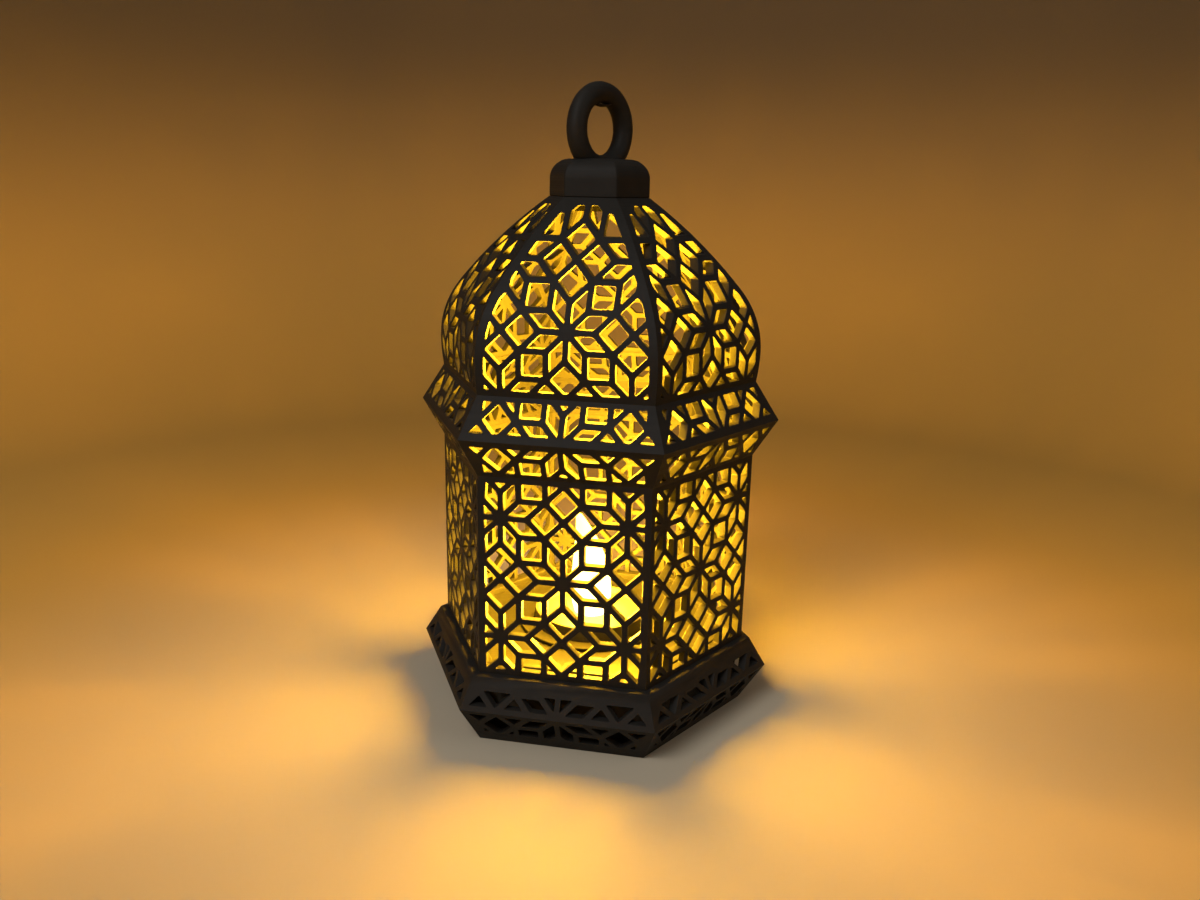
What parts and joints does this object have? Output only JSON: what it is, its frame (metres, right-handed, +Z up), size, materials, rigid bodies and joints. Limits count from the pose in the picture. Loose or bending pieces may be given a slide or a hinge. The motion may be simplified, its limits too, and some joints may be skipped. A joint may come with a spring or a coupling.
{
  "type": "lattice lantern",
  "caption": "Hexagonal lattice lantern with a flared belt, domed roof and carrying ring; the cage lifts off a hollow base that holds a battery tea light with a flame-shaped lens.",
  "frame": {"origin": "on the table, under the lantern's centre", "axes": "+Z up; X through two corners of the hexagon, in the ring's plane; -Y out of a flat face"},
  "size_m": [0.1162, 0.1006, 0.192],
  "materials": {
    "printed_plastic": "dark printed plastic with fine level layer lines and a satin sheen",
    "candle_plastic": "moulded dark plastic, satin",
    "switch_plastic": "moulded grey plastic, satin",
    "flame_plastic": "milky warm translucent plastic, lit from inside",
    "led_plastic": "clear yellow epoxy",
    "cell_steel": "nickel-plated steel can",
    "contact_steel": "nickel-plated spring strip"
  },
  "bodies": {
    "base": {"foot_ring": "printed_plastic", "base_deck": "printed_plastic", "tealight_pocket": "printed_plastic", "base_lower_panel_1": "printed_plastic", "base_lower_panel_2": "printed_plastic", "base_lower_panel_3": "printed_plastic", "base_lower_panel_4": "printed_plastic", "base_lower_panel_5": "printed_plastic", "base_lower_panel_6": "printed_plastic", "base_upper_panel_1": "printed_plastic", "base_upper_panel_2": "printed_plastic", "base_upper_panel_3": "printed_plastic", "base_upper_panel_4": "printed_plastic", "base_upper_panel_5": "printed_plastic", "base_upper_panel_6": "printed_plastic"},
    "cage": {"top_cap": "printed_plastic", "hanging_ring": "printed_plastic", "body_panel_1": "printed_plastic", "body_panel_2": "printed_plastic", "body_panel_3": "printed_plastic", "body_panel_4": "printed_plastic", "body_panel_5": "printed_plastic", "body_panel_6": "printed_plastic", "band_lower_panel_1": "printed_plastic", "band_lower_panel_2": "printed_plastic", "band_lower_panel_3": "printed_plastic", "band_lower_panel_4": "printed_plastic", "band_lower_panel_5": "printed_plastic", "band_lower_panel_6": "printed_plastic", "band_upper_panel_1": "printed_plastic", "band_upper_panel_2": "printed_plastic", "band_upper_panel_3": "printed_plastic", "band_upper_panel_4": "printed_plastic", "band_upper_panel_5": "printed_plastic", "band_upper_panel_6": "printed_plastic", "dome_panel_1": "printed_plastic", "dome_panel_2": "printed_plastic", "dome_panel_3": "printed_plastic", "dome_panel_4": "printed_plastic", "dome_panel_5": "printed_plastic", "dome_panel_6": "printed_plastic"},
    "tea_light": {"tealight_cup": "candle_plastic", "tealight_chassis": "candle_plastic", "flame_lens": "flame_plastic", "led": "led_plastic", "coin_cell": "cell_steel", "spring_contact": "contact_steel", "strip_contact": "contact_steel"},
    "switch": {"switch_slider": "switch_plastic"},
    "battery_door": {"battery_door": "candle_plastic"}
  },
  "joints": [
    {"name": "cage_lift", "type": "slide", "parent": "base", "child": "cage", "axis": [0, 0, 1], "range_m": [0, 0.12]},
    {"name": "tea_light_lift", "type": "slide", "parent": "base", "child": "tea_light", "axis": [0, 0, 1], "range_m": [0, 0.03]},
    {"name": "switch_slide", "type": "slide", "parent": "tea_light", "child": "switch", "axis": [1, 0, 0], "range_m": [0, 0.0025]},
    {"name": "battery_door_hinge", "type": "hinge", "parent": "tea_light", "child": "battery_door", "pos_m": [0, -0.0094, 0.0108], "axis": [-1, 0, 0], "range_deg": [0, 95]}
  ]
}
